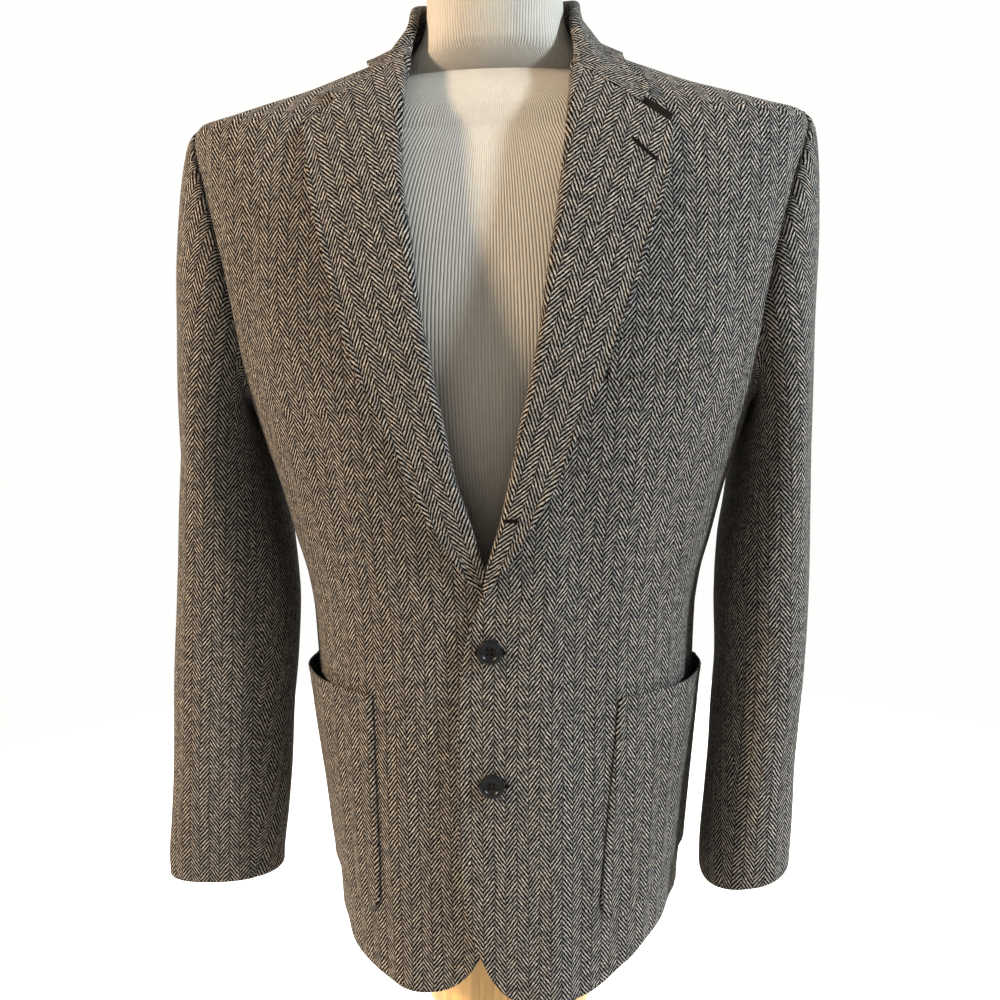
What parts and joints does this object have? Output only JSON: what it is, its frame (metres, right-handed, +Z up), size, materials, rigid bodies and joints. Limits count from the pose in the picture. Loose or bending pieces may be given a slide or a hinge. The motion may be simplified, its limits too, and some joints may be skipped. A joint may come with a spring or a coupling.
{
  "type": "tweed jacket on a dress form",
  "caption": "Buttoned single-breasted tweed jacket with notch lapels and patch pockets, standing on a limbless dress form with a turned post and round base.",
  "frame": {"origin": "middle of the underside of the form's round base", "axes": "+Z up along the post, -Y towards the jacket's front, +X towards the wearer's left"},
  "size_m": [0.5774, 0.4, 1.56],
  "materials": {
    "tweed": "brushed wool tweed in a dark and light herringbone",
    "felt": "dense dark wool felt",
    "button": "horn-like, softly polished",
    "linen": "plain ribbed linen over the form",
    "wood": "satin varnish"
  },
  "bodies": {
    "root": {"front_left": "tweed", "front_right": "tweed", "side_left": "tweed", "side_right": "tweed", "back_left": "tweed", "back_right": "tweed", "lapel_left": "tweed", "lapel_right": "tweed", "collar": "tweed", "throat_tab": "felt", "topsleeve_left": "tweed", "undersleeve_left": "tweed", "topsleeve_right": "tweed", "undersleeve_right": "tweed", "pocket_left": "tweed", "pocket_right": "tweed", "chest_welt": "tweed", "button_1": "button", "button_2": "button", "form_torso": "linen", "form_post": "wood", "form_base": "wood"}
  },
  "joints": []
}
